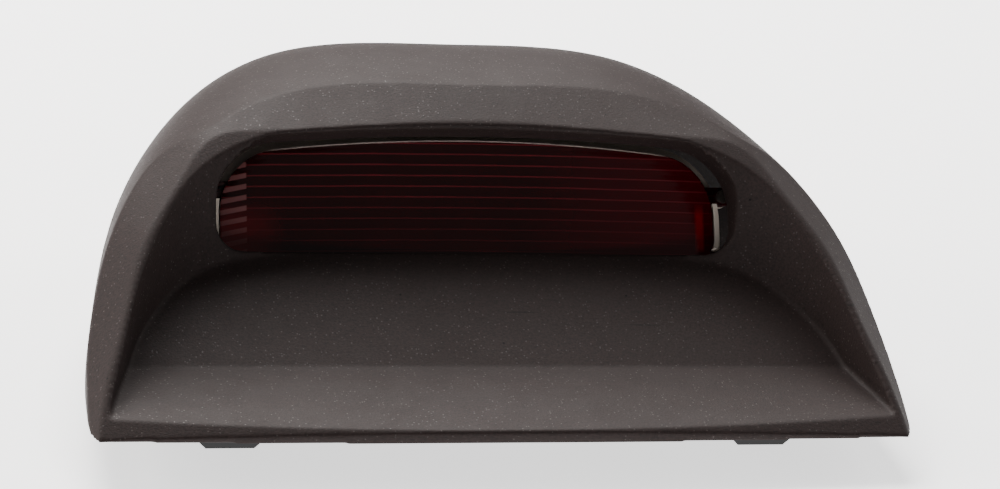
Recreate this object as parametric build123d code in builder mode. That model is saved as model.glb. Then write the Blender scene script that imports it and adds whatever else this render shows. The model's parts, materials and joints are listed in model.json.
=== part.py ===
from build123d import *
from math import atan, cos, degrees, hypot, radians, sin
import os

# Rear-shelf brake light under a moulded hood. Millimetres, +Z up, +X right, +Y away from the mouth.
# The origin is on the shelf plane, midway between the two mounting studs.
# Depths are measured from the hood's front edge, and heights from the shelf.

# Driving dimensions of the hood
HALF_WIDTH = 147.0
HOOD_DEPTH = 196.0
HOOD_HEIGHT = 88.8
WALL = 2.6
STUD_LINE = 125.0
FRONT_BOW = 3.5
FRONT_END = 0.3
LIP_HEIGHT = 5.0

# Roundness of the dome: exponents of its plan outline, its side profile and its back profile
PLAN_SIDE = 4.35
PLAN_BACK = 2.0
SIDE_RISE = 3.13
SIDE_ROUND = 3.08
BACK_RISE = 7.95
BACK_ROUND = 3.56
CROWN_SLOPE = 0.125
CROWN_DEPTH = 150.0
CROWN_WALL = 1.8
DOME_LEVELS = (0.0, 0.2, 0.4, 0.55, 0.68, 0.78, 0.86, 0.92, 0.96, 0.98, 0.995)
DOME_ANGLES = (0, 15, 30, 45, 60, 72, 82)

# Rear window glass that the rim follows: its slope, its height over the front edge and its curve
GLASS_SLOPE = 0.66
GLASS_START = 6.5
GLASS_BOW = 4.0
BOW_HALF = 135.0

# Rim of the mouth, drawn in the glass plane: half width, distance up the slope,
# and how far the band outside it spreads for each millimetre behind the glass
RIM = (
    (142.5, -12.0, 0.9),
    (139.3, 12.0, 0.95),
    (134.0, 33.0, 1.1),
    (127.3, 60.0, 1.2),
    (117.3, 86.0, 1.45),
    (103.0, 107.0, 1.7),
    (85.0, 118.0, 3.0),
    (57.0, 122.6, 4.5),
    (0.0, 124.5, 5.0),
)
RIM_AHEAD = 3.0
RIM_OVERHANG = 0.61
BAND_AHEAD = 8.0
BAND_BEHIND = 20.0
RIM_LAND = 1.8
CREASE_DEPTH = 112.0
CREASE_ROUND = 3.0
LIP_ROUND = 0.8

# Floor of the mouth: flat strip, then a ramp up to the lens. Half width and depth of the ramp's edge
STRIP_DEPTH = 40.0
STRIP_RISE = 2.4
RAMP_SLOPE = 0.46
FLOOR_EDGE = (
    (141.5, -12.0),
    (139.0, 12.0),
    (134.3, 30.0),
    (126.8, 52.0),
    (116.0, 68.5),
    (103.0, 80.0),
    (86.0, 86.0),
    (57.0, 89.0),
    (0.0, 90.5),
)

# Lens plane: its foot and its lean from the vertical. Outlines drawn in it: half width, foot,
# height of the sides, height of the bowed top, and the radii of the lower and upper corners
LENS_FOOT_DEPTH = 90.0
LENS_LEAN = 34.0
WINDOW = (97.0, -1.0, 37.0, 42.5, 10.0, 24.0)
LENS = (94.0, -4.0, 36.0, 41.7, 11.0, 23.0)
TUNNEL_LENGTH = 14.0
TUNNEL_FLARE = 0.8
LENS_GAP = 0.8
LENS_RADIUS = 631.0
LENS_SWING = 26.0
LENS_WALL = 2.5
LENS_SIDE = 2.2
LENS_BACK = 16.0
LENS_ROOM = 1.0
FLUTE_COUNT = 10
FLUTE_PITCH = 4.05
FLUTE_DEPTH = 0.9
EAR_OUT = 100.0
EAR_HEIGHTS = (-1.0, 24.0)
EAR_NECK = 14.0
EAR_RADIUS = 3.6
EAR_FIT = 0.3
EAR_WALL = 2.4
EAR_SCREW = 1.3
EAR_SCREW_HEAD = 2.6
EAR_SCREW_LENGTH = 6.0

# Lamp body: flange behind the lens, lip round it, and a tapered trough with an upright back
GASKET = 1.0
GASKET_WIDTH = 2.2
FLANGE = 2.0
FLANGE_GROW = 5.5
LIP_GAP = 0.5
LIP_WALL = 1.8
LIP_FRONT = 8.0
LIP_TOP = 21.0
BODY_SET_IN = 3.0
BODY_WALL = 2.0
BODY_BACK = 146.0
BODY_END = (47.0, 22.0, 54.0, 58.0, 8.0, 12.0)
BULB_HEIGHT = 40.0
REFLECTOR_GAP = 0.8
REFLECTOR_WALL = 1.0
REFLECTOR_LEDGE = 0.7
REFLECTOR_LEDGE_SET_IN = 2.4
REFLECTOR_BACK = 139.5
REFLECTOR_HOLE = 9.0

# Bulb and socket, on an axis along Y
BULB_RADIUS = 7.5
BULB_GLASS = 0.9
BULB_TIP = 112.0
BULB_NECK = 138.0
BULB_BASE_END = 150.0
BULB_BASE_WIDTH = 11.0
BULB_BASE_WALL = 4.6
FILAMENT_DEPTH = 123.0
FILAMENT_LENGTH = 7.0
FILAMENT_RADIUS = 0.7
POST_RADIUS = 0.35
LEAD_OUT = 2.5
LEAD_WIDTH = 0.9
LEAD_WALL = 0.5
SOCKET_BORE = 10.4
SOCKET_FIT = 0.3
SOCKET_FRONT = 141.0
SOCKET_END = 166.0
SOCKET_BODY = 11.0
SOCKET_FLANGE = 14.5
SOCKET_FLANGE_WALL = 2.5
SEAL_WALL = 1.2
SEAL_FIT = 0.1
LUG_OUT = 12.8
LUG_WIDTH = 5.0
LUG_WALL = 2.0
LUG_COUNT = 3
LUG_FIT = 0.4
TWIST = 45.0
CAVITY_END = 152.0
CAVITY_FIT = 0.2
INLET_DEPTH = 160.0
INLET_WIDTH = 14.0
INLET_THICK = 9.0
INLET_FOOT = 14.0
INLET_LEAD = 5.2
INLET_WALL = 1.4
INLET_ROOM = 14.0
CONTACT_WIDTH = 1.8
CONTACT_WALL = 0.8

# Bracket on the shelf, its legs through the shelf, and the studs
PLATE = 1.5
PLATE_HALF = 106.0
PLATE_BACK_HALF = 84.0
PLATE_BACK = 165.0
WING_HALF = 127.0
WING_WIDTH = 16.0
LEG_CENTRE = 96.5
LEG_WIDTH = 18.0
LEG_DEPTH = 22.0
LEG_WALL = 1.6
LEG_DROP = 13.4
SLEEVE_WALL = 1.0
SLEEVE_WIDTH = 22.0
SLEEVE_FLARE = 1.0
SLEEVE_ROUND = 2.5
SLEEVE_TOP = -1.0
STUD_HALF = 60.0
STUD_RADIUS = 3.0
STUD_SHOULDER = 4.5
STUD_FIT = 0.1
STUD_DROP = 14.4
STUD_HEAD_RADIUS = 6.5
STUD_HEAD = 2.4
CHEEK_HALF = 78.0
CHEEK_WALL = 1.5
CHEEK_DEPTHS = (120.5, 147.5)
TAB_TOP = 26.0
TAB_REACH = 14.0
SCREW_OUT = 86.0
SCREW_DEPTHS = (126.5, 141.5)
FOOT_INNER = 52.0
FOOT_WALL = 2.5
FOOT_WIDTH = 11.0
SCREW_RADIUS = 1.9
SCREW_FIT = 0.2
SCREW_HEAD_RADIUS = 3.8
SCREW_HEAD = 2.2
SCREW_TAIL = 2.0
NUT_SIDE = 8.5
NUT_WALL = 2.2

# Blades under the hood (inner end, depth and height), and the spring clips that grip them
RIBS = ((116.0, 52.0, 12.0), (104.0, 138.0, 26.0))
RIB_WALL = 2.2
RIB_BASE = 4.0
CLIP_FIT = 0.3
CLIP_WALL = 0.7
CLIP_WIDTH = 9.0
CLIP_HEIGHT = 7.0

# Harness clip on the bracket's rear edge
HARNESS_OUT = 25.0
HARNESS_DEPTH = 157.0
HARNESS_RADIUS = 5.0
HARNESS_WALL = 1.4
HARNESS_WIDTH = 8.0
HARNESS_GAP = 4.4

GLASS_ANGLE = degrees(atan(GLASS_SLOPE))
RAMP_ANGLE = degrees(atan(RAMP_SLOPE))
RAMP_START = LIP_HEIGHT + STRIP_RISE - RAMP_SLOPE * STRIP_DEPTH
LENS_FOOT_HEIGHT = RAMP_START + RAMP_SLOPE * LENS_FOOT_DEPTH
FAR = 170.0


def place(depth):
    """Y of a depth behind the hood's front edge."""
    return depth - STUD_LINE


def glass_plane(behind):
    """Plane parallel to the glass chord, so far behind it: local X across, local Y up the slope."""
    angle = radians(GLASS_ANGLE)
    normal = Vector(0, -sin(angle), cos(angle))
    return Plane(origin=Vector(0, place(0), GLASS_START) - normal * behind, x_dir=(1, 0, 0), z_dir=normal)


def lens_plane(ahead):
    """Plane parallel to the lens, so far ahead of the window: local X across, local Y up the lens."""
    angle = radians(LENS_LEAN)
    normal = Vector(0, -cos(angle), sin(angle))
    foot = Vector(0, place(LENS_FOOT_DEPTH), LENS_FOOT_HEIGHT)
    return Plane(origin=foot + normal * ahead, x_dir=(1, 0, 0), z_dir=normal)


def grown(points, amounts):
    """The points of a half outline, each moved outward along its own normal."""
    moved = []
    last = len(points) - 1
    for i, (x, y) in enumerate(points):
        before = points[max(i - 1, 0)]
        after = points[i + 1] if i < last else (-points[last - 1][0], points[last - 1][1])
        run = after[0] - before[0]
        rise = after[1] - before[1]
        length = hypot(run, rise)
        moved.append((x + amounts[i] * rise / length, y - amounts[i] * run / length))
    return moved


def arch(points):
    """Face under an open arch: the half outline, its mirror image and a straight line across the foot."""
    both = points + [(-x, y) for x, y in reversed(points[:-1])]
    with BuildSketch(mode=Mode.PRIVATE) as sketch:
        with BuildLine():
            Spline(*both)
            Line(both[-1], both[0])
        make_face()
    return sketch.sketch


def outline(form, grow):
    """Face with a straight foot, a bowed top and rounded corners, grown by so much."""
    half, foot, shoulder, crown, low_round, high_round = form
    with BuildSketch(mode=Mode.PRIVATE) as sketch:
        with BuildLine():
            ThreePointArc((half, shoulder), (0, crown), (-half, shoulder))
            Polyline((-half, shoulder), (-half, foot), (half, foot), (half, shoulder))
        make_face()
        fillet(sketch.vertices().group_by(Axis.Y)[0], low_round)
        fillet(sketch.vertices().group_by(Axis.Y)[-1], high_round)
        if grow:
            offset(amount=grow)
    return sketch.sketch


def dome(inset, drop):
    """Solid dome, its surface so far inside the hood's outer skin and its foot so far below the shelf."""
    with BuildPart() as solid:
        levels = DOME_LEVELS if drop == 0 else (-1.0,) + DOME_LEVELS
        for level in levels:
            share = max(level, 0.0)
            half = (HALF_WIDTH - inset) * (1 - share**SIDE_RISE) ** (1 / SIDE_ROUND)
            back = (HOOD_DEPTH - inset) * (1 - share**BACK_RISE) ** (1 / BACK_ROUND)
            slope = CROWN_SLOPE * share**2
            height = share * (HOOD_HEIGHT - inset * CROWN_WALL) if level >= 0 else -drop
            plane = Plane(origin=(0, place(CROWN_DEPTH), height), x_dir=(1, 0, 0), z_dir=(0, -slope, 1))
            stretch = hypot(1, slope)
            side = []
            for angle in DOME_ANGLES:
                x = half * cos(radians(angle)) ** (2 / PLAN_SIDE)
                depth = back * sin(radians(angle)) ** (2 / PLAN_BACK)
                side.append((x, (depth - CROWN_DEPTH) * stretch))
            top = (0.0, (back - CROWN_DEPTH) * stretch)
            front = (-STRIP_DEPTH - CROWN_DEPTH) * stretch
            both = side + [top] + [(-x, y) for x, y in reversed(side)]
            with BuildSketch(plane):
                with BuildLine():
                    Spline(*both, tangents=((0, 1), (0, -1)))
                    Polyline(both[-1], (-half, front), (half, front), both[0])
                make_face()
        loft()
    return solid.part


def behind_glass(inset):
    """Everything so far behind the bowed glass."""
    angle = radians(GLASS_ANGLE)
    along = Vector(0, cos(angle), sin(angle))
    start = Vector(0, place(0), GLASS_START) - along * FAR
    bow = GLASS_BOW * (FAR / BOW_HALF) ** 2
    with BuildPart() as solid:
        with BuildSketch(Plane(origin=start, x_dir=(1, 0, 0), z_dir=along)):
            with BuildLine():
                ThreePointArc((-FAR, bow + inset), (0, inset), (FAR, bow + inset))
                Polyline((FAR, bow + inset), (FAR, 2 * FAR), (-FAR, 2 * FAR), (-FAR, bow + inset))
            make_face()
        extrude(amount=4 * FAR)
    return solid.part


def band_cone(inset):
    """Solid that opens out behind the rim: its side is the band round the mouth."""
    rim = [(x, y) for x, y, spread in RIM]
    with BuildPart() as solid:
        for behind in (BAND_BEHIND + 1, -BAND_AHEAD):
            spreads = [s * (behind - GLASS_BOW * (x / BOW_HALF) ** 2) for x, y, s in RIM]
            walls = [inset * hypot(1, s) for x, y, s in RIM]
            amounts = [RIM_LAND + spread - wall for spread, wall in zip(spreads, walls)]
            with BuildSketch(glass_plane(behind)):
                add(arch(grown(rim, amounts)))
        loft()
    return solid.part


def band_waste(inset):
    """What the band cuts from the dome: a slab less the cone that stays."""
    with BuildPart() as solid:
        with BuildSketch(glass_plane(BAND_BEHIND)):
            Rectangle(4 * FAR, 4 * FAR)
        extrude(amount=BAND_BEHIND + BAND_AHEAD - 1)
        add(band_cone(inset), mode=Mode.SUBTRACT)
    return solid.part


def mouth(wall):
    """Open space of the mouth, with so much wall added round it."""
    rim = [(x, y) for x, y, spread in RIM]
    ahead = RIM_AHEAD + 2 * wall
    lifted = []
    for x, y in grown(rim, [wall] * len(rim)):
        lean = GLASS_SLOPE + RIM_OVERHANG * (1 - (abs(x) / HALF_WIDTH) ** 2)
        lifted.append((x, y + lean * (ahead + GLASS_BOW * (x / BOW_HALF) ** 2)))
    edge = [(x, y / cos(radians(RAMP_ANGLE))) for x, y in FLOOR_EDGE]
    floor = grown(edge, [wall] * len(edge))
    angle = radians(RAMP_ANGLE)
    normal = Vector(0, -sin(angle), cos(angle))
    ramp = Plane(origin=Vector(0, place(0), RAMP_START) - normal * wall, x_dir=(1, 0, 0), z_dir=normal)
    with BuildPart() as solid:
        with BuildSketch(ramp):
            add(arch(floor))
        with BuildSketch(glass_plane(-ahead)):
            add(arch(lifted))
        loft()
        # The flat strip of the floor lies over the foot of the ramp
        with BuildSketch(Plane.YZ.offset(-FAR)):
            with BuildLine():
                Polyline(
                    (place(-2 * STRIP_DEPTH), LIP_HEIGHT - 2 * STRIP_RISE - wall),
                    (place(STRIP_DEPTH), LIP_HEIGHT + STRIP_RISE - wall),
                    (place(STRIP_DEPTH), -FAR),
                    (place(-2 * STRIP_DEPTH), -FAR),
                    close=True,
                )
            make_face()
        extrude(amount=2 * FAR, mode=Mode.SUBTRACT)
    return solid.part


def tunnel(wall):
    """Short way from the mouth to the lens, with so much wall added round it."""
    with BuildPart() as solid:
        with BuildSketch(lens_plane(0 if wall else -WALL)):
            add(outline(WINDOW, wall))
        with BuildSketch(lens_plane(TUNNEL_LENGTH)):
            add(outline(WINDOW, wall + TUNNEL_FLARE))
        loft()
    return solid.part


def front_side(inset):
    """Everything behind the bowed front face of the lip."""
    with BuildPart() as solid:
        with BuildSketch(Plane.XY.offset(-FAR)):
            with BuildLine():
                ThreePointArc(
                    (-FAR, place(inset + FRONT_END)),
                    (0, place(inset - FRONT_BOW)),
                    (FAR, place(inset + FRONT_END)),
                )
                Polyline(
                    (FAR, place(inset + FRONT_END)),
                    (FAR, place(2 * FAR)),
                    (-FAR, place(2 * FAR)),
                    (-FAR, place(inset + FRONT_END)),
                )
            make_face()
        extrude(amount=2 * FAR)
    return solid.part


def clip_ribs(skin):
    """Blades under the hood that the spring clips grip."""
    with BuildPart() as solid:
        for inner, depth, top in RIBS:
            for side in (-1, 1):
                with BuildSketch(Plane.XY.offset(RIB_BASE)):
                    with Locations((side * (inner + FAR) / 2, place(depth))):
                        Rectangle(FAR - inner, RIB_WALL)
                extrude(amount=top)
        add(skin, mode=Mode.INTERSECT)
    return solid.part


def lamp_room():
    """Room behind the window for the lens and the flange behind it."""
    steps = ((-0.1, LENS_ROOM), (-LIP_FRONT + 1.5, FLANGE_GROW + LENS_ROOM))
    with BuildPart() as solid:
        for ahead, room in steps:
            with BuildSketch(lens_plane(ahead)):
                add(outline(LENS, room))
            extrude(amount=-2 * LENS_BACK)
    return solid.part


def make_hood():
    """The hood: outer skin, hollow inside, clip blades, mouth and window."""
    outer = dome(0, 0)
    inner = dome(WALL, 4)
    with BuildPart() as hollow:
        add(inner)
        add(behind_glass(WALL), mode=Mode.INTERSECT)
        add(front_side(WALL), mode=Mode.INTERSECT)
        add(band_waste(WALL), mode=Mode.SUBTRACT)
        add(mouth(WALL), mode=Mode.SUBTRACT)
        add(tunnel(WALL), mode=Mode.SUBTRACT)
    with BuildPart() as hood:
        add(outer)
        add(behind_glass(0), mode=Mode.INTERSECT)
        add(front_side(0), mode=Mode.INTERSECT)
        add(band_waste(0), mode=Mode.SUBTRACT)
        skin = hood.part
        add(hollow.part, mode=Mode.SUBTRACT)
        add(clip_ribs(skin))
        add(mouth(0), mode=Mode.SUBTRACT)
        add(tunnel(0), mode=Mode.SUBTRACT)
        add(lamp_room(), mode=Mode.SUBTRACT)
        crease = hood.edges().sort_by_distance((0, place(CREASE_DEPTH), HOOD_HEIGHT))[0]
        fillet(crease, CREASE_ROUND)
        lip = hood.edges().sort_by_distance((0, place(WALL - FRONT_BOW), LIP_HEIGHT))[0]
        fillet(lip, LIP_ROUND)
    return hood.part


def finish(solid, name):
    """Label one piece and write it."""
    solid.label = name
    export_step(solid, "parts/" + name + ".step")


def lens_prism(grow, back, ahead):
    """The lens outline grown by so much, from one distance ahead of the window plane to another."""
    with BuildPart() as solid:
        with BuildSketch(lens_plane(back)):
            add(outline(LENS, grow))
        extrude(amount=ahead - back)
    return solid.part


def lens_drum(wall, fluted):
    """Part of a drum about the lens's centre of curvature: so thick, and fluted inside if asked."""
    count = FLUTE_COUNT + 4
    low = -FLUTE_PITCH * 2
    high = low + FLUTE_PITCH * count
    inside = LENS_RADIUS - wall
    centre = lens_plane(-LENS_GAP - LENS_RADIUS)
    swing = radians(LENS_SWING / 2)
    normal = centre.x_dir * cos(swing) + centre.z_dir * sin(swing)
    start = Plane(origin=centre.origin, x_dir=centre.y_dir, z_dir=normal)
    with BuildPart() as solid:
        with BuildSketch(start):
            with BuildLine():
                Polyline((low, inside), (low, LENS_RADIUS), (high, LENS_RADIUS), (high, inside))
                if fluted:
                    for i in range(count):
                        begin = low + i * FLUTE_PITCH
                        middle = begin + FLUTE_PITCH / 2
                        end = begin + FLUTE_PITCH
                        ThreePointArc((begin, inside), (middle, inside - FLUTE_DEPTH), (end, inside))
                else:
                    Line((high, inside), (low, inside))
            make_face()
        revolve(axis=Axis(centre.origin, centre.y_dir), revolution_arc=LENS_SWING)
    return solid.part


def ear_places(ahead):
    """Planes on the four ears at the ends of the lens."""
    base = lens_plane(ahead)
    return [
        Plane(origin=base.from_local_coords((side * EAR_OUT, height)), x_dir=base.x_dir, z_dir=base.z_dir)
        for side in (-1, 1)
        for height in EAR_HEIGHTS
    ]


def ear_pads(ahead, wall, grow):
    """Four rounded ears, so thick, on necks that reach the lens's ends."""
    radius = EAR_RADIUS + grow
    with BuildPart() as solid:
        for plane in ear_places(ahead):
            side = 1 if plane.origin.X > 0 else -1
            with BuildSketch(plane):
                Circle(radius)
                with Locations((-side * EAR_NECK / 2, 0)):
                    Rectangle(EAR_NECK, 2 * radius)
            extrude(amount=wall)
    return solid.part


def ear_holes(ahead, wall, radius):
    """Screw holes of the four ears."""
    with BuildPart() as solid:
        for plane in ear_places(ahead):
            with BuildSketch(plane):
                Circle(radius)
            extrude(amount=wall)
    return solid.part


LENS_REAR = -LENS_GAP - LENS_BACK
FLANGE_FRONT = LENS_REAR - GASKET
FLANGE_REAR = FLANGE_FRONT - FLANGE


def make_lens():
    """Lens: curved face fluted inside, side walls and four ears."""
    with BuildPart() as lens:
        add(lens_prism(0, LENS_REAR, 2))
        add(lens_prism(-LENS_SIDE, LENS_REAR, 2), mode=Mode.SUBTRACT)
        add(ear_pads(LENS_REAR, EAR_WALL, 0))
        add(ear_holes(LENS_REAR, EAR_WALL, EAR_SCREW + SCREW_FIT), mode=Mode.SUBTRACT)
        add(lens_prism(-LENS_SIDE, LENS_REAR - 1, 2), mode=Mode.SUBTRACT)
        add(lens_drum(4 * LENS_BACK, False), mode=Mode.INTERSECT)
    with BuildPart() as face:
        add(lens_drum(LENS_WALL, True))
        add(lens_prism(0, LENS_REAR, 2), mode=Mode.INTERSECT)
    with BuildPart() as whole:
        add(lens.part)
        add(face.part)
    return whole.part


def make_gasket():
    """Foam ring between the lens's side walls and the flange."""
    with BuildPart() as gasket:
        add(lens_prism(0, FLANGE_FRONT, LENS_REAR))
        add(lens_prism(-GASKET_WIDTH, FLANGE_FRONT, LENS_REAR), mode=Mode.SUBTRACT)
    return gasket.part


def upright_plane(depth):
    """Upright plane across the lamp, facing the mouth: local X across, local Y up."""
    return Plane(origin=(0, place(depth), 0), x_dir=(1, 0, 0), z_dir=(0, -1, 0))


def trough(set_in, front, back):
    """Tapered solid from the lens outline, so far in, to a smaller upright outline at a depth."""
    with BuildPart() as solid:
        with BuildSketch(lens_plane(front)):
            add(outline(LENS, -set_in))
        with BuildSketch(upright_plane(back)):
            add(outline(BODY_END, -set_in))
        loft()
    return solid.part


def bayonet(outer, width, front, back, turn):
    """Radial lugs of the twist lock between two depths, turned by so much from their rest place."""
    with BuildPart() as solid:
        with BuildSketch(upright_plane(back)):
            with Locations((0, BULB_HEIGHT)):
                with PolarLocations(0, LUG_COUNT, start_angle=90 + turn):
                    with Locations((outer / 2, 0)):
                        Rectangle(outer, width)
        extrude(amount=back - front)
    return solid.part


def rod(radius, front, back):
    """Round rod on the bulb's axis between two depths."""
    with BuildPart() as solid:
        with BuildSketch(upright_plane(back)):
            with Locations((0, BULB_HEIGHT)):
                Circle(radius)
        extrude(amount=back - front)
    return solid.part


def screw_places(height):
    """Planes of the four body screws at a height."""
    return [
        Plane(origin=(side * SCREW_OUT, place(depth), height))
        for side in (-1, 1)
        for depth in SCREW_DEPTHS
    ]


def make_housing():
    """Ivory lamp body: flange, lip round the lens, trough, socket hole and screw feet."""
    with BuildPart() as housing:
        add(lens_prism(FLANGE_GROW, FLANGE_REAR, FLANGE_FRONT))
        add(ear_pads(FLANGE_REAR, FLANGE, 0))
        add(lens_prism(LIP_GAP + LIP_WALL, FLANGE_FRONT, -LIP_FRONT))
        with BuildSketch(lens_plane(FLANGE_FRONT)):
            with Locations((0, LIP_TOP + FAR / 2)):
                Rectangle(2 * FAR, FAR)
        extrude(amount=LENS_BACK, mode=Mode.SUBTRACT)
        add(ear_pads(FLANGE_FRONT, LENS_BACK, EAR_FIT), mode=Mode.SUBTRACT)
        add(ear_holes(FLANGE_REAR, FLANGE, EAR_SCREW), mode=Mode.SUBTRACT)
        add(lens_prism(LIP_GAP, FLANGE_FRONT, 0), mode=Mode.SUBTRACT)
        add(trough(BODY_SET_IN - BODY_WALL, FLANGE_FRONT - 0.2, BODY_BACK))
        for side in (-1, 1):
            for depth in SCREW_DEPTHS:
                middle = (FOOT_INNER + SCREW_OUT + FOOT_WIDTH / 2) / 2
                length = SCREW_OUT + FOOT_WIDTH / 2 - FOOT_INNER
                with BuildSketch(Plane.XY.offset(TAB_TOP)):
                    with Locations((side * middle, place(depth))):
                        Rectangle(length, FOOT_WIDTH)
                extrude(amount=FOOT_WALL)
        add(trough(BODY_SET_IN, FLANGE_FRONT + 0.2, BODY_BACK - BODY_WALL), mode=Mode.SUBTRACT)
        for plane in screw_places(TAB_TOP):
            with BuildSketch(plane):
                Circle(SCREW_RADIUS + SCREW_FIT)
            extrude(amount=FOOT_WALL, mode=Mode.SUBTRACT)
        add(rod(SOCKET_BORE, BODY_BACK - 10, BODY_BACK), mode=Mode.SUBTRACT)
        add(
            bayonet(LUG_OUT + LUG_FIT, LUG_WIDTH + 2 * LUG_FIT, BODY_BACK - 10, BODY_BACK, TWIST),
            mode=Mode.SUBTRACT,
        )
    return housing.part


def make_reflector():
    """Bright trough inside the body, hung on a ledge at its front, with a hole for the bulb."""
    outer = BODY_SET_IN + REFLECTOR_GAP
    inner = outer + REFLECTOR_WALL
    far = BODY_BACK - BODY_WALL
    with BuildPart() as hollow:
        add(trough(inner, FLANGE_FRONT, far))
        with BuildSketch(upright_plane(REFLECTOR_BACK - REFLECTOR_WALL)):
            Rectangle(2 * FAR, 2 * FAR)
        extrude(amount=-FAR, mode=Mode.SUBTRACT)
    with BuildPart() as reflector:
        add(trough(outer, FLANGE_FRONT, far))
        with BuildSketch(upright_plane(REFLECTOR_BACK)):
            Rectangle(2 * FAR, 2 * FAR)
        extrude(amount=-FAR, mode=Mode.SUBTRACT)
        add(lens_prism(-REFLECTOR_LEDGE_SET_IN, FLANGE_FRONT, FLANGE_FRONT + REFLECTOR_LEDGE))
        add(lens_prism(-inner, FLANGE_FRONT, FLANGE_FRONT + REFLECTOR_LEDGE), mode=Mode.SUBTRACT)
        add(hollow.part, mode=Mode.SUBTRACT)
        add(rod(REFLECTOR_HOLE, REFLECTOR_BACK - 2 * REFLECTOR_WALL, REFLECTOR_BACK), mode=Mode.SUBTRACT)
    return reflector.part


def bulb_form(inset):
    """Round envelope of the bulb, set in by so much."""
    radius = BULB_RADIUS - inset
    tip = place(BULB_TIP) + inset
    neck = place(BULB_NECK) - inset
    with BuildPart() as solid:
        with BuildSketch(Plane(origin=(0, 0, BULB_HEIGHT), x_dir=(1, 0, 0), z_dir=(0, 0, 1))):
            with BuildLine():
                shoulder = tip + radius
                JernArc((0, tip), (1, 0), radius, 90)
                Polyline((radius, shoulder), (radius, neck - 4), (radius - 2, neck), (0, neck), (0, tip))
            make_face()
        revolve(axis=Axis((0, 0, BULB_HEIGHT), (0, 1, 0)))
    return solid.part


def make_bulb_glass():
    """Hollow glass envelope with a flat pressed base."""
    with BuildPart() as bulb:
        add(bulb_form(0))
        add(bulb_form(BULB_GLASS), mode=Mode.SUBTRACT)
        with BuildSketch(upright_plane(BULB_BASE_END)):
            with Locations((0, BULB_HEIGHT)):
                Rectangle(BULB_BASE_WIDTH, BULB_BASE_WALL)
        extrude(amount=BULB_BASE_END - BULB_NECK)
    return bulb.part


def make_filament():
    """Coil across two posts that stand on the inside of the base."""
    with BuildPart() as filament:
        with BuildSketch(Plane.YZ.offset(-FILAMENT_LENGTH / 2)):
            with Locations((place(FILAMENT_DEPTH), BULB_HEIGHT)):
                Circle(FILAMENT_RADIUS)
        extrude(amount=FILAMENT_LENGTH)
        for side in (-1, 1):
            with BuildSketch(upright_plane(BULB_NECK - BULB_GLASS)):
                with Locations((side * (FILAMENT_LENGTH / 2 - POST_RADIUS), BULB_HEIGHT)):
                    Circle(POST_RADIUS)
            extrude(amount=BULB_NECK - BULB_GLASS - FILAMENT_DEPTH)
    return filament.part


def make_leads():
    """Two wire ends folded under the bulb's base."""
    top = BULB_HEIGHT - BULB_BASE_WALL / 2
    with BuildPart() as leads:
        for side in (-1, 1):
            with BuildSketch(Plane.XY.offset(top - LEAD_WALL)):
                with Locations((side * LEAD_OUT, place((BULB_NECK + BULB_BASE_END) / 2 + 2))):
                    Rectangle(LEAD_WIDTH, BULB_BASE_END - BULB_NECK - 5)
            extrude(amount=LEAD_WALL)
    return leads.part


def make_contact(side):
    """Bent contact: one end under the bulb's lead, the other a pin in the inlet."""
    top = BULB_HEIGHT - BULB_BASE_WALL / 2 - LEAD_WALL
    front = BULB_NECK + 5
    with BuildPart() as contact:
        with BuildSketch(Plane.YZ.offset(side * LEAD_OUT - CONTACT_WIDTH / 2)):
            with BuildLine():
                Polyline(
                    (place(front), top),
                    (place(INLET_DEPTH) + CONTACT_WALL / 2, top),
                    (place(INLET_DEPTH) + CONTACT_WALL / 2, INLET_FOOT + INLET_LEAD),
                    (place(INLET_DEPTH) - CONTACT_WALL / 2, INLET_FOOT + INLET_LEAD),
                    (place(INLET_DEPTH) - CONTACT_WALL / 2, top - CONTACT_WALL),
                    (place(front), top - CONTACT_WALL),
                    close=True,
                )
            make_face()
        extrude(amount=CONTACT_WIDTH)
    return contact.part


def make_socket(contacts):
    """Twist-lock socket with its flange, lugs and the connector inlet under it."""
    radius = SOCKET_BORE - SOCKET_FIT
    flange = BODY_BACK + SEAL_FIT + SEAL_WALL
    lug_back = BODY_BACK - BODY_WALL - LUG_FIT
    with BuildPart() as socket:
        add(rod(radius, SOCKET_FRONT, flange))
        add(bayonet(LUG_OUT, LUG_WIDTH, lug_back - LUG_WALL, lug_back, 0))
        add(rod(SOCKET_FLANGE, flange, flange + SOCKET_FLANGE_WALL))
        add(rod(SOCKET_BODY, flange, SOCKET_END))
        with BuildSketch(Plane.XY.offset(INLET_FOOT)):
            with Locations((0, place(INLET_DEPTH))):
                Rectangle(INLET_WIDTH, INLET_THICK)
        extrude(amount=BULB_HEIGHT - INLET_FOOT)
        with BuildSketch(Plane.XY.offset(INLET_FOOT)):
            with Locations((0, place(INLET_DEPTH))):
                Rectangle(INLET_WIDTH - 2 * INLET_WALL, INLET_THICK - 2 * INLET_WALL)
        extrude(amount=INLET_ROOM, mode=Mode.SUBTRACT)
        with BuildSketch(upright_plane(CAVITY_END)):
            with Locations((0, BULB_HEIGHT)):
                Rectangle(BULB_BASE_WIDTH + 2 * CAVITY_FIT, BULB_BASE_WALL + 2 * LEAD_WALL)
        extrude(amount=CAVITY_END - SOCKET_FRONT, mode=Mode.SUBTRACT)
        for contact in contacts:
            add(contact, mode=Mode.SUBTRACT)
    return socket.part


def make_seal():
    """Rubber ring between the socket's flange and the body."""
    with BuildPart() as seal:
        add(rod(SOCKET_FLANGE - 0.5, BODY_BACK + SEAL_FIT, BODY_BACK + SEAL_FIT + SEAL_WALL))
        add(
            rod(SOCKET_BORE - SOCKET_FIT, BODY_BACK + SEAL_FIT, BODY_BACK + SEAL_FIT + SEAL_WALL),
            mode=Mode.SUBTRACT,
        )
    return seal.part


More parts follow.
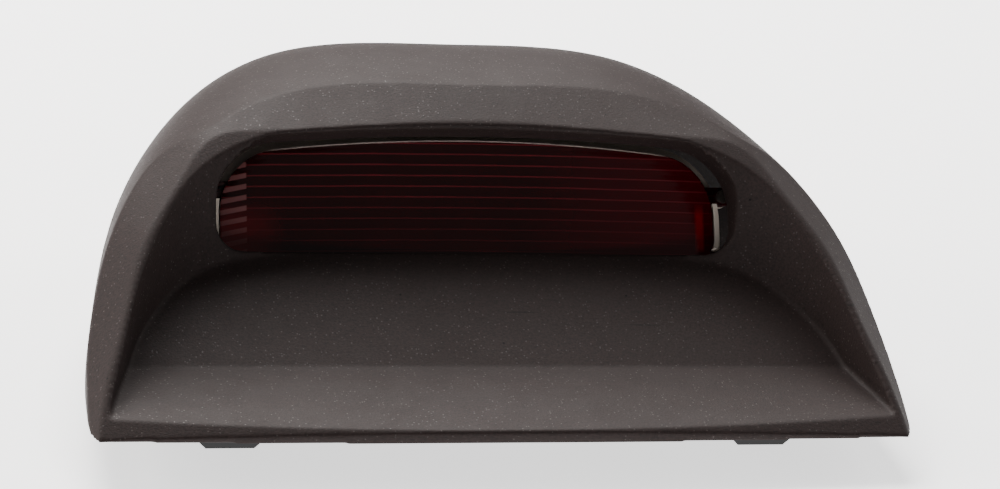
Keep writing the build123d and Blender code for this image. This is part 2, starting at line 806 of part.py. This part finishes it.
def make_lens_screws():
    """Four small screws through the lens's ears into the flange."""
    with BuildPart() as screws:
        for plane in ear_places(LENS_REAR + EAR_WALL):
            with BuildSketch(plane):
                Circle(EAR_SCREW_HEAD)
            extrude(amount=1.6)
            with BuildSketch(plane):
                Circle(EAR_SCREW)
            extrude(amount=-EAR_SCREW_LENGTH)
    return screws.part


def make_bracket():
    """Pressed steel bracket: plate, clip wings, two legs and two cheeks with screw tabs."""
    with BuildPart() as bracket:
        with BuildSketch():
            with BuildLine():
                half = [
                    (LEG_CENTRE + LEG_WIDTH / 2, place(LEG_DEPTH)),
                    (LEG_CENTRE + LEG_WIDTH / 2, place(RIBS[0][1] - WING_WIDTH / 2)),
                    (WING_HALF, place(RIBS[0][1] - WING_WIDTH / 2)),
                    (WING_HALF, place(RIBS[0][1] + WING_WIDTH / 2)),
                    (PLATE_HALF, place(RIBS[0][1] + WING_WIDTH / 2 + 8)),
                    (RIBS[1][0] + CLIP_WIDTH + 1, place(RIBS[1][1] - WING_WIDTH / 2)),
                    (RIBS[1][0] + CLIP_WIDTH + 1, place(RIBS[1][1] + WING_WIDTH / 2)),
                    (PLATE_BACK_HALF, place(PLATE_BACK)),
                ]
                Polyline(*half, *[(-x, y) for x, y in reversed(half)], close=True)
            make_face()
        extrude(amount=PLATE)
        for side in (-1, 1):
            with BuildSketch(Plane.XY.offset(-LEG_DROP)):
                with Locations((side * LEG_CENTRE, place(LEG_DEPTH) + LEG_WALL / 2)):
                    Rectangle(LEG_WIDTH, LEG_WALL)
            extrude(amount=LEG_DROP)
            with BuildSketch():
                with Locations((side * (CHEEK_HALF + CHEEK_WALL / 2), place(sum(CHEEK_DEPTHS) / 2))):
                    Rectangle(CHEEK_WALL, CHEEK_DEPTHS[1] - CHEEK_DEPTHS[0])
            extrude(amount=TAB_TOP)
            with BuildSketch(Plane.XY.offset(TAB_TOP - CHEEK_WALL)):
                with Locations((side * (CHEEK_HALF + TAB_REACH / 2), place(sum(CHEEK_DEPTHS) / 2))):
                    Rectangle(TAB_REACH, CHEEK_DEPTHS[1] - CHEEK_DEPTHS[0])
            extrude(amount=CHEEK_WALL)
        for plane in screw_places(TAB_TOP - CHEEK_WALL):
            with BuildSketch(plane):
                Circle(SCREW_RADIUS + SCREW_FIT)
            extrude(amount=CHEEK_WALL, mode=Mode.SUBTRACT)
        with BuildSketch():
            with Locations((-STUD_HALF, 0), (STUD_HALF, 0)):
                Circle(STUD_SHOULDER + STUD_FIT)
        extrude(amount=PLATE, mode=Mode.SUBTRACT)
    return bracket.part


def make_sleeves():
    """Glossy plastic sleeves on the bracket's legs."""
    with BuildPart() as sleeves:
        for side in (-1, 1):
            centre = (side * LEG_CENTRE, place(LEG_DEPTH) + LEG_WALL / 2)
            bottom = -LEG_DROP - SLEEVE_WALL
            thick = LEG_WALL + 2 * SLEEVE_WALL
            front = (centre[0], centre[1] - thick / 2, 0)
            with BuildSketch(Plane(origin=front, x_dir=(1, 0, 0), z_dir=(0, -1, 0))):
                with BuildLine():
                    Polyline(
                        (-SLEEVE_WIDTH / 2 + SLEEVE_ROUND, bottom),
                        (SLEEVE_WIDTH / 2 - SLEEVE_ROUND, bottom),
                        (SLEEVE_WIDTH / 2, bottom + SLEEVE_ROUND),
                        (SLEEVE_WIDTH / 2, SLEEVE_TOP - 3),
                        (SLEEVE_WIDTH / 2 + SLEEVE_FLARE, SLEEVE_TOP),
                        (-SLEEVE_WIDTH / 2 - SLEEVE_FLARE, SLEEVE_TOP),
                        (-SLEEVE_WIDTH / 2, SLEEVE_TOP - 3),
                        (-SLEEVE_WIDTH / 2, bottom + SLEEVE_ROUND),
                        close=True,
                    )
                make_face()
            extrude(amount=-thick)
            with BuildSketch(Plane.XY.offset(-LEG_DROP)):
                with Locations(centre):
                    Rectangle(LEG_WIDTH, LEG_WALL)
            extrude(amount=LEG_DROP, mode=Mode.SUBTRACT)
    return sleeves.part


def make_studs():
    """Two studs with flat heads on the plate, pointing down through the shelf."""
    with BuildPart() as studs:
        with BuildSketch(Plane.XY.offset(-STUD_DROP)):
            with Locations((-STUD_HALF, 0), (STUD_HALF, 0)):
                Circle(STUD_RADIUS)
        extrude(amount=STUD_DROP)
        with BuildSketch():
            with Locations((-STUD_HALF, 0), (STUD_HALF, 0)):
                Circle(STUD_SHOULDER)
        extrude(amount=PLATE)
        with BuildSketch(Plane.XY.offset(PLATE)):
            with Locations((-STUD_HALF, 0), (STUD_HALF, 0)):
                Circle(STUD_HEAD_RADIUS)
        extrude(amount=STUD_HEAD)
    return studs.part


def make_body_screws():
    """Four screws down through the body's feet and the bracket's tabs."""
    with BuildPart() as screws:
        for plane in screw_places(TAB_TOP + FOOT_WALL):
            with BuildSketch(plane):
                Circle(SCREW_HEAD_RADIUS)
            extrude(amount=SCREW_HEAD)
            with BuildSketch(plane):
                Circle(SCREW_RADIUS)
            extrude(amount=-(FOOT_WALL + CHEEK_WALL + NUT_WALL + SCREW_TAIL))
    return screws.part


def make_body_nuts():
    """Four square nuts under the bracket's tabs."""
    with BuildPart() as nuts:
        for plane in screw_places(TAB_TOP - CHEEK_WALL - NUT_WALL):
            with BuildSketch(plane):
                Rectangle(NUT_SIDE, NUT_SIDE)
                Circle(SCREW_RADIUS, mode=Mode.SUBTRACT)
            extrude(amount=NUT_WALL)
    return nuts.part


def make_hood_clips():
    """Four spring clips on the bracket: each is a U whose leaves grip a blade of the hood."""
    inner = RIB_WALL / 2 + CLIP_FIT
    outer = inner + CLIP_WALL
    with BuildPart() as clips:
        for start, depth, top in RIBS:
            for side in (-1, 1):
                with BuildSketch(Plane.YZ.offset(side * (start + CLIP_WIDTH / 2) - CLIP_WIDTH / 2)):
                    with Locations((place(depth), PLATE + CLIP_HEIGHT / 2)):
                        Rectangle(2 * outer, CLIP_HEIGHT)
                    with Locations((place(depth), PLATE + CLIP_WALL + CLIP_HEIGHT / 2)):
                        Rectangle(2 * inner, CLIP_HEIGHT, mode=Mode.SUBTRACT)
                extrude(amount=CLIP_WIDTH)
    return clips.part


def make_harness_clip():
    """Open plastic loop on the plate for the lamp's wires."""
    height = PLATE + HARNESS_RADIUS
    with BuildPart() as clip:
        with BuildSketch(Plane.YZ.offset(HARNESS_OUT)):
            with Locations((place(HARNESS_DEPTH), height)):
                Circle(HARNESS_RADIUS)
                Circle(HARNESS_RADIUS - HARNESS_WALL, mode=Mode.SUBTRACT)
            with Locations((place(HARNESS_DEPTH), height + HARNESS_RADIUS)):
                Rectangle(HARNESS_GAP, 2 * HARNESS_RADIUS, mode=Mode.SUBTRACT)
            with Locations((place(HARNESS_DEPTH), PLATE + HARNESS_WALL / 2)):
                Rectangle(2 * HARNESS_RADIUS, HARNESS_WALL)
        extrude(amount=HARNESS_WIDTH)
    return clip.part


os.makedirs("parts", exist_ok=True)
contact_left = make_contact(-1)
contact_right = make_contact(1)
finish(make_hood(), "hood_cover")
finish(make_lens(), "lens")
finish(make_gasket(), "lens_gasket")
finish(make_housing(), "lamp_housing")
finish(make_reflector(), "reflector")
finish(make_bulb_glass(), "bulb_glass")
finish(make_filament(), "bulb_filament")
finish(make_leads(), "bulb_leads")
finish(make_socket((contact_left, contact_right)), "bulb_socket")
finish(make_seal(), "socket_seal")
finish(contact_left, "contact_left")
finish(contact_right, "contact_right")
finish(make_lens_screws(), "lens_screws")
finish(make_bracket(), "base_bracket")
finish(make_sleeves(), "leg_sleeves")
finish(make_studs(), "mount_studs")
finish(make_body_screws(), "housing_screws")
finish(make_body_nuts(), "housing_nuts")
finish(make_hood_clips(), "hood_clips")
finish(make_harness_clip(), "harness_clip")
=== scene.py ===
import json
import math
import bpy
from mathutils import Matrix, Vector

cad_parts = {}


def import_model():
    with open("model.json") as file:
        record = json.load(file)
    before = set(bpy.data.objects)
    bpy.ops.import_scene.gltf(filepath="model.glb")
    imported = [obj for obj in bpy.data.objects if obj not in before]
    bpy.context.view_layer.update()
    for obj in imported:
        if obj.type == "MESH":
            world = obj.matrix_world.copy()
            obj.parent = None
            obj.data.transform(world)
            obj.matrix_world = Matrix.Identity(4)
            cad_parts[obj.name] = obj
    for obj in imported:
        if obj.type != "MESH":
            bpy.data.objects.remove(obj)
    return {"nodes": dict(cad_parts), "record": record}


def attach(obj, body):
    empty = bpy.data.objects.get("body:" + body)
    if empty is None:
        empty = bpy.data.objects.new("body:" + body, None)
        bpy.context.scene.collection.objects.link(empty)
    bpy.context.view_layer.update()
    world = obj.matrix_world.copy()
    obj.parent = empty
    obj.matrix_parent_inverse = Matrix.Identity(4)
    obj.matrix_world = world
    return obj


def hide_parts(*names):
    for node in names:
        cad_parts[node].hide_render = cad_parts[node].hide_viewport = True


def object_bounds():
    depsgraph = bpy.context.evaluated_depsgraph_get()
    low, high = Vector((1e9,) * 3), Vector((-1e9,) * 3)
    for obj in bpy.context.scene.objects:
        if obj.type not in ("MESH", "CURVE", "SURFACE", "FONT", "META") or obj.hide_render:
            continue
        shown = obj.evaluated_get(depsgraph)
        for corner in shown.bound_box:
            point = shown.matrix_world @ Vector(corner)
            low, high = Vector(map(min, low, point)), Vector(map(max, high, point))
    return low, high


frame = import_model()
cad_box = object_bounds()
MM = 0.001


# ---------------------------------------------------------------- shader nodes

class Nodes:
    """One material, with short ways to add shader nodes to it and link them."""

    def __init__(self, name):
        self.mat = bpy.data.materials.new(name)
        self.mat.use_nodes = True
        self.tree = self.mat.node_tree
        self.shader = self.tree.nodes["Principled BSDF"]
        coords = self.add("ShaderNodeTexCoord")
        self.coords = coords.outputs["Object"]

    def add(self, kind, **settings):
        node = self.tree.nodes.new(kind)
        for key, value in settings.items():
            setattr(node, key, value)
        return node

    def link(self, source, target):
        self.tree.links.new(source, target)

    def feed(self, socket, value):
        """Give a socket a number, a colour or another node's output."""
        if isinstance(value, tuple):
            socket.default_value = (*value, 1.0)
        elif isinstance(value, (int, float)):
            socket.default_value = value
        else:
            self.link(value, socket)

    def noise(self, size, detail=3.0, stretch=(1.0, 1.0, 1.0)):
        """Noise whose features are about size metres across."""
        mapping = self.add("ShaderNodeMapping")
        mapping.inputs["Scale"].default_value = [s / size for s in stretch]
        self.link(self.coords, mapping.inputs["Vector"])
        node = self.add("ShaderNodeTexNoise")
        node.inputs["Scale"].default_value = 1.0
        node.inputs["Detail"].default_value = detail
        self.link(mapping.outputs["Vector"], node.inputs["Vector"])
        return node.outputs["Fac"]

    def dots(self, size, channel, chosen, edge):
        """Round dots in cells about size metres across.

        Only cells whose random colour is past the chosen range have a dot, and it fades over the edge range.
        """
        cells = self.add("ShaderNodeTexVoronoi", feature="F1")
        cells.inputs["Scale"].default_value = 1.0 / size
        self.link(self.coords, cells.inputs["Vector"])
        split = self.add("ShaderNodeSeparateColor")
        self.link(cells.outputs["Color"], split.inputs["Color"])
        picked = self.ramp(split.outputs[channel], *chosen)
        return self.product(picked, self.ramp(cells.outputs["Distance"], *edge))

    def ramp(self, value, low, high, low_to=0.0, high_to=1.0):
        """The value carried from low..high to low_to..high_to, and held there beyond it."""
        node = self.add("ShaderNodeMapRange")
        node.inputs["From Min"].default_value = low
        node.inputs["From Max"].default_value = high
        node.inputs["To Min"].default_value = low_to
        node.inputs["To Max"].default_value = high_to
        self.link(value, node.inputs["Value"])
        return node.outputs["Result"]

    def math(self, operation, first, second=0.0):
        node = self.add("ShaderNodeMath", operation=operation)
        self.feed(node.inputs[0], first)
        self.feed(node.inputs[1], second)
        return node.outputs["Value"]

    def product(self, first, *others):
        for other in others:
            first = self.math("MULTIPLY", first, other)
        return first

    def mix(self, factor, first, second):
        """The first colour where factor is 0, and the second where it is 1."""
        node = self.add("ShaderNodeMix", data_type="RGBA")
        self.feed(node.inputs[0], factor)
        self.feed(node.inputs[6], first)
        self.feed(node.inputs[7], second)
        return node.outputs[2]

    def bump(self, height, strength, distance, below=None):
        node = self.add("ShaderNodeBump")
        node.inputs["Strength"].default_value = strength
        node.inputs["Distance"].default_value = distance
        self.link(height, node.inputs["Height"])
        if below is not None:
            self.link(below, node.inputs["Normal"])
        return node.outputs["Normal"]

    def set(self, **values):
        """Feed the shader's own sockets, and return the finished material."""
        for key, value in values.items():
            self.feed(self.shader.inputs[key.replace("_", " ")], value)
        return self.mat


# ---------------------------------------------------------------- materials

def plain(
    name, color, rough, metallic=0.0, mottle=0.15,
    grain=0.6 * MM, depth=0.05 * MM, stretch=(1, 1, 1), **extra,
):
    """A slightly uneven surface: colour and roughness vary, and a fine grain stands on it."""
    n = Nodes(name)
    broad = n.noise(14 * MM)
    fine = n.noise(grain, 2.0, stretch)
    dark = tuple(c * (1 - mottle) for c in color)
    bright = tuple(min(1.0, c * (1 + mottle)) for c in color)
    tone = n.mix(n.ramp(broad, 0.35, 0.65), dark, bright)
    roughness = n.math("ADD", n.ramp(n.noise(5 * MM), 0.3, 0.7, -0.06, 0.06), rough)
    normal = n.bump(fine, 0.6, depth)
    return n.set(Base_Color=tone, Roughness=roughness, Metallic=metallic, Normal=normal, **extra)


HOOD_DARK = (0.0205, 0.0128, 0.0118)
HOOD_LIGHT = (0.0240, 0.0156, 0.0146)
HOOD_GRAIN = (0.008, 0.0062, 0.006)
# painted highlight: colour of the bright sparkle dots painted into the hood
HOOD_PAINTED_GLINT = (0.09, 0.078, 0.074)
HOOD_SPECK = (0.002, 0.002, 0.002)
HOOD_SCRATCH = (0.005, 0.004, 0.004)


def hood_plastic():
    """Warm dark grey plastic: a fine grain with bright dots painted in as sparkle glints, dust specks and a
    few hairline scratches.
    """
    n = Nodes("hood_plastic")
    body = n.mix(n.ramp(n.noise(60 * MM, 4.0), 0.3, 0.7), HOOD_DARK, HOOD_LIGHT)
    grain = n.ramp(n.noise(0.9 * MM, 4.0), 0.4, 0.7, 0.0, 0.6)
    body = n.mix(grain, body, HOOD_GRAIN)
    # painted highlight: bright dots painted into the colour as sparkle glints; the same dots are also a
    # little less rough
    painted_glint_dots = n.dots(0.8 * MM, 0, (0.90, 0.94), (0.45, 0.2))
    body = n.mix(n.product(painted_glint_dots, 0.5), body, HOOD_PAINTED_GLINT)
    speck = n.dots(3.4 * MM, 1, (0.985, 0.988), (0.16, 0.10))
    body = n.mix(speck, body, HOOD_SPECK)
    streak = n.ramp(n.noise(1.0 * MM, 1.0, (0.02, 0.35, 0.35)), 0.752, 0.762)
    patch = n.ramp(n.noise(45 * MM), 0.55, 0.62)
    body = n.mix(n.product(streak, patch, 0.5), body, HOOD_SCRATCH)
    matt = n.ramp(n.noise(9 * MM), 0.3, 0.7, 0.60, 0.64)
    rough = n.math("SUBTRACT", matt, n.product(painted_glint_dots, 0.2))
    normal = n.bump(n.noise(0.7 * MM, 2.0), 0.8, 0.13 * MM)
    normal = n.bump(n.noise(2.2 * MM, 2.0), 0.3, 0.07 * MM, normal)
    return n.set(Base_Color=body, Roughness=rough, Normal=normal, Specular_IOR_Level=0.16)


LENS_LEAN = math.radians(34.0)
LENS_FOOT_DEPTH = -35.0 * MM
LENS_FOOT_HEIGHT = 30.4 * MM
LENS_TOP = 41.7 * MM
LENS_TOP_BOW = 5.7 * MM / (94.0 * MM) ** 2
FLUTE = 4.05 * MM
STRIPE_SLANT = -0.19

LENS_RED = (0.0125, 0.0003, 0.0004)
LENS_CLOUD = (0.0160, 0.0004, 0.0006)
# painted light: lighter red that the lens is drawn with towards its right end
LENS_RIGHT_PAINTED_LIGHT = (0.048, 0.0006, 0.0022)
# painted glow: bright red of the lower left corner of the lens
LENS_LEFT_PAINTED_GLOW = (0.085, 0.0012, 0.003)
# painted highlight: colour of the bright lines along the flutes' edges
LENS_PAINTED_FLUTE_HIGHLIGHT = (0.13, 0.011, 0.016)
# painted highlight: colour of the slanting stripes on the left end of the lens
LENS_PAINTED_STRIPE_HIGHLIGHT = (0.17, 0.062, 0.062)
# painted glow: colour of the bright red band beside the right end of the lens
LENS_PAINTED_RIGHT_GLOW = (0.20, 0.003, 0.006)
LENS_GLINT = (0.62, 0.50, 0.46)


def up_the_lens(n, depth, height):
    """Distance up the lens's leaning face, from its foot."""
    return n.math(
        "ADD",
        n.product(n.math("SUBTRACT", depth, LENS_FOOT_DEPTH), math.sin(LENS_LEAN)),
        n.product(n.math("SUBTRACT", height, LENS_FOOT_HEIGHT), math.cos(LENS_LEAN)),
    )


def from_flute_middle(n, distance):
    """Place across a flute: 0 at its middle and 0.5 at its edges."""
    phase = n.math("FRACT", n.math("DIVIDE", distance, FLUTE))
    return n.math("ABSOLUTE", n.math("SUBTRACT", phase, 0.5))


def painted_flute_highlights(n, flute, up):
    """Painted highlights: thin bright lines at the flutes' edges, fainter towards the foot."""
    lower_fade = n.ramp(up, 6 * MM, 26 * MM, 0.25, 1.0)
    patchy = n.ramp(n.noise(25 * MM), 0.25, 0.7, 0.55, 1.0)
    return n.product(n.ramp(flute, 0.41, 0.47), lower_fade, patchy)


def painted_left_stripe_highlights(n, across, up):
    """Painted highlights: wide slanting stripes on the last few millimetres of the left end."""
    slanted = n.math("ADD", up, n.product(across, STRIPE_SLANT))
    wide = n.ramp(from_flute_middle(n, slanted), 0.24, 0.30)
    upper = n.ramp(up, 3 * MM, 15 * MM, 0.2, 1.0)
    return n.product(n.ramp(across, -84.2 * MM, -84.6 * MM), wide, upper)


def painted_right_band_glow(n, across, up):
    """Painted glow: a short bright red band beside the right end, in the lower half."""
    inner, outer = n.ramp(across, 86.2 * MM, 87.4 * MM), n.ramp(across, 90.4 * MM, 89.4 * MM)
    upper, lower = n.ramp(up, 20 * MM, 15 * MM), n.ramp(up, 1 * MM, 3 * MM)
    return n.product(inner, outer, upper, lower)


def top_glint(n, across, up):
    """Thin light line along the crown of the lens, which bows down to both ends."""
    crown = n.math("SUBTRACT", LENS_TOP, n.product(across, across, LENS_TOP_BOW))
    line = n.ramp(n.math("SUBTRACT", crown, up), 0.55 * MM, 0.25 * MM)
    return n.product(line, n.ramp(n.math("ABSOLUTE", across), 84 * MM, 66 * MM))


def lens_red():
    """Deep red plastic, shown opaque: what its flutes do to the light is drawn on its face."""
    n = Nodes("lens_red")
    place = n.add("ShaderNodeSeparateXYZ")
    n.link(n.coords, place.inputs["Vector"])
    across, depth, height = place.outputs
    up = up_the_lens(n, depth, height)
    waver = n.product(n.math("SUBTRACT", n.noise(30 * MM), 0.5), 0.5 * MM)
    flute = from_flute_middle(n, n.math("ADD", up, waver))
    # painted glow: where the lower left corner of the lens is drawn glowing red
    painted_left_glow = n.product(n.ramp(across, -70 * MM, -90 * MM), n.ramp(up, 20 * MM, 10 * MM))
    tone = n.mix(n.ramp(n.noise(18 * MM), 0.3, 0.7), LENS_RED, LENS_CLOUD)
    # painted light: the lens drawn lighter red towards its right end
    tone = n.mix(n.ramp(across, 20 * MM, 90 * MM), tone, LENS_RIGHT_PAINTED_LIGHT)
    # painted glow in the lower left corner of the lens
    tone = n.mix(painted_left_glow, tone, LENS_LEFT_PAINTED_GLOW)
    # painted highlight lines along the flutes' edges
    tone = n.mix(n.product(painted_flute_highlights(n, flute, up), 0.9), tone, LENS_PAINTED_FLUTE_HIGHLIGHT)
    # painted highlight stripes on the left end of the lens
    tone = n.mix(painted_left_stripe_highlights(n, across, up), tone, LENS_PAINTED_STRIPE_HIGHLIGHT)
    # painted glow: the bright red band beside the right end of the lens
    tone = n.mix(n.product(painted_right_band_glow(n, across, up), 0.9), tone, LENS_PAINTED_RIGHT_GLOW)
    tone = n.mix(top_glint(n, across, up), tone, LENS_GLINT)
    rough = n.ramp(n.noise(3 * MM, 5.0), 0.3, 0.8, 0.10, 0.18)
    bevel = n.add("ShaderNodeBevel", samples=4)
    bevel.inputs["Radius"].default_value = 0.9 * MM
    normal = n.bump(n.noise(6 * MM, 2.0), 0.15, 0.05 * MM, bevel.outputs["Normal"])
    normal = n.bump(flute, 0.5, 0.25 * MM, normal)
    return n.set(Base_Color=tone, Roughness=rough, Normal=normal, IOR=1.49, Specular_IOR_Level=0.3)


def glass():
    """Clear glass, a little uneven in its polish."""
    n = Nodes("bulb_glass")
    rough = n.ramp(n.noise(4 * MM), 0.3, 0.7, 0.0, 0.04)
    return n.set(Base_Color=(0.95, 0.96, 0.96), Roughness=rough, IOR=1.5, Transmission_Weight=1.0)


ALONG_DEPTH = (1, 0.1, 1)
ALONG_WIDTH = (0.1, 1, 1)

PLAIN_SURFACES = {
    "foam": dict(color=(0.03, 0.03, 0.032), rough=0.95, grain=0.8 * MM, depth=0.4 * MM),
    "ivory_plastic": dict(color=(0.80, 0.70, 0.60), rough=0.42, mottle=0.05, depth=0.03 * MM),
    "bright_film": dict(
        color=(0.86, 0.86, 0.85), rough=0.12, metallic=1.0, mottle=0.04, grain=3 * MM, depth=0.06 * MM,
    ),
    "tungsten": dict(color=(0.25, 0.24, 0.23), rough=0.4, metallic=1.0, grain=0.2 * MM),
    "lead_wire": dict(color=(0.55, 0.52, 0.48), rough=0.35, metallic=1.0, grain=0.3 * MM),
    "black_plastic": dict(color=(0.018, 0.018, 0.019), rough=0.45, depth=0.04 * MM),
    "seal_rubber": dict(color=(0.025, 0.025, 0.025), rough=0.8, grain=0.5 * MM),
    "contact_brass": dict(
        color=(0.66, 0.47, 0.20), rough=0.3, metallic=1.0, grain=0.5 * MM, stretch=ALONG_DEPTH,
    ),
    "zinc_steel": dict(
        color=(0.60, 0.59, 0.54), rough=0.32, metallic=1.0, grain=0.4 * MM, depth=0.03 * MM,
    ),
    "black_steel": dict(color=(0.014, 0.014, 0.015), rough=0.38, grain=0.9 * MM, depth=0.05 * MM),
    "sleeve_plastic": dict(
        color=(0.006, 0.006, 0.007), rough=0.10, mottle=0.3, grain=6 * MM, depth=0.06 * MM,
    ),
    "spring_steel": dict(
        color=(0.30, 0.28, 0.25), rough=0.35, metallic=1.0, grain=0.5 * MM, stretch=ALONG_WIDTH,
    ),
}

MATERIALS = {"hood_plastic": hood_plastic(), "lens_red": lens_red(), "bulb_glass": glass()}
for name, surface in PLAIN_SURFACES.items():
    MATERIALS[name] = plain(name, **surface)

for entry in frame["record"]["subparts"]:
    node = frame["nodes"][entry["node"]]
    node.data.materials.clear()
    node.data.materials.append(MATERIALS[entry["material_slot"]])


# ---------------------------------------------------------------- the hood, with moulded edges

VOXEL = 0.8 * MM
SMOOTH_STEPS = 4


def moulded_hood():
    """The hood as moulded: every edge of the CAD shape is rounded off by about a millimetre."""
    source = frame["nodes"]["hood_cover"]
    mesh = source.data.copy()
    hood = bpy.data.objects.new("hood_moulded", mesh)
    bpy.context.scene.collection.objects.link(hood)
    for kind, settings in (
        ("REMESH", {"mode": "VOXEL", "voxel_size": VOXEL, "use_smooth_shade": True}),
        ("SMOOTH", {"factor": 0.5, "iterations": SMOOTH_STEPS}),
    ):
        modifier = hood.modifiers.new(kind.lower(), kind)
        for key, value in settings.items():
            setattr(modifier, key, value)
    shown = hood.evaluated_get(bpy.context.evaluated_depsgraph_get())
    finished = bpy.data.meshes.new_from_object(shown)
    hood.modifiers.clear()
    hood.data = finished
    finished.materials.clear()
    finished.materials.append(MATERIALS["hood_plastic"])
    finished.shade_smooth()
    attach(hood, "hood")
    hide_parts("hood_cover")


moulded_hood()


# ---------------------------------------------------------------- floor, light and camera

FLOOR_LEVEL = cad_box[0][2]
FLOOR_REACH = 6.0
FLOOR_DARK = (0.95, 0.95, 0.95)
FLOOR_LIGHT = (0.97, 0.97, 0.97)
FLOOR_GLOW = 1.5
SURROUND = 0.20
BACKDROP = 4.0


def emitter(name, place, target, width, height, power, color):
    """Soft rectangular lamp at a place, aimed at a target."""
    data = bpy.data.lights.new(name, "AREA")
    data.shape = "RECTANGLE"
    data.size = width
    data.size_y = height
    data.energy = power
    data.color = color
    lamp = bpy.data.objects.new(name, data)
    bpy.context.scene.collection.objects.link(lamp)
    lamp.location = place
    lamp.rotation_euler = (Vector(target) - Vector(place)).to_track_quat("-Z", "Y").to_euler()


def floor():
    """Plain pale floor that runs well past the picture."""
    n = Nodes("pale_floor")
    tone = n.mix(n.ramp(n.noise(0.4), 0.3, 0.7), FLOOR_DARK, FLOOR_LIGHT)
    mat = n.set(Base_Color=tone, Roughness=0.9, Emission_Color=tone, Emission_Strength=FLOOR_GLOW)
    mesh = bpy.data.meshes.new("floor")
    around = ((-1, -1), (1, -1), (1, 1), (-1, 1))
    corners = [(x * FLOOR_REACH, y * FLOOR_REACH, FLOOR_LEVEL) for x, y in around]
    mesh.from_pydata(corners, [], [(0, 1, 2, 3)])
    mesh.materials.append(mat)
    obj = bpy.data.objects.new("floor", mesh)
    bpy.context.scene.collection.objects.link(obj)


CAMERA_PLACE = Vector((-0.2245, -0.9976, 0.4733))
CAMERA_BACK = Vector((-0.2152, -0.8881, 0.4062))
CAMERA_TURN = math.radians(-13.62)
CAMERA_ROLL = math.radians(6.09)
CAMERA_FOCAL = 105.3
CAMERA_SENSOR = 36.0
CAMERA_REACH = 50.0


def camera():
    """Camera at the photograph's viewing angle, slightly rolled as the photograph is."""
    data = bpy.data.cameras.new("camera")
    data.lens = CAMERA_FOCAL
    data.sensor_width = CAMERA_SENSOR
    data.clip_end = CAMERA_REACH
    back = CAMERA_BACK.normalized()
    level = Vector((math.cos(CAMERA_TURN), math.sin(CAMERA_TURN), 0.0))
    level = (level - back * level.dot(back)).normalized()
    upright = back.cross(level)
    right = level * math.cos(CAMERA_ROLL) + upright * math.sin(CAMERA_ROLL)
    up = back.cross(right)
    turn = Matrix((right, up, back)).transposed().to_4x4()
    obj = bpy.data.objects.new("camera", data)
    obj.matrix_world = Matrix.Translation(CAMERA_PLACE) @ turn
    bpy.context.scene.collection.objects.link(obj)
    bpy.context.scene.camera = obj


def world():
    """White where the camera sees past the floor, and dim for all the light that reaches the object."""
    scene_world = bpy.data.worlds.new("surround")
    scene_world.use_nodes = True
    tree = scene_world.node_tree
    background = tree.nodes["Background"]
    path = tree.nodes.new("ShaderNodeLightPath")
    level = tree.nodes.new("ShaderNodeMapRange")
    level.inputs["To Min"].default_value = SURROUND
    level.inputs["To Max"].default_value = BACKDROP
    tree.links.new(path.outputs["Is Camera Ray"], level.inputs["Value"])
    tree.links.new(level.outputs["Result"], background.inputs["Strength"])
    background.inputs["Color"].default_value = (1.0, 1.0, 1.0, 1.0)
    bpy.context.scene.world = scene_world


floor()
emitter(
    "top_light", place=(-0.15, 0.85, 1.15), target=(0.0, 0.02, 0.05),
    width=1.3, height=0.8, power=62.0, color=(1.0, 0.97, 0.95),
)
emitter(
    "left_light", place=(-1.35, 0.25, 0.55), target=(0.0, 0.0, 0.04),
    width=0.7, height=0.5, power=15.0, color=(1.0, 0.95, 0.91),
)
emitter(
    "right_light", place=(1.2, 0.4, 0.7), target=(0.0, 0.0, 0.03),
    width=0.6, height=0.6, power=7.0, color=(1.0, 1.0, 1.0),
)
camera()
world()
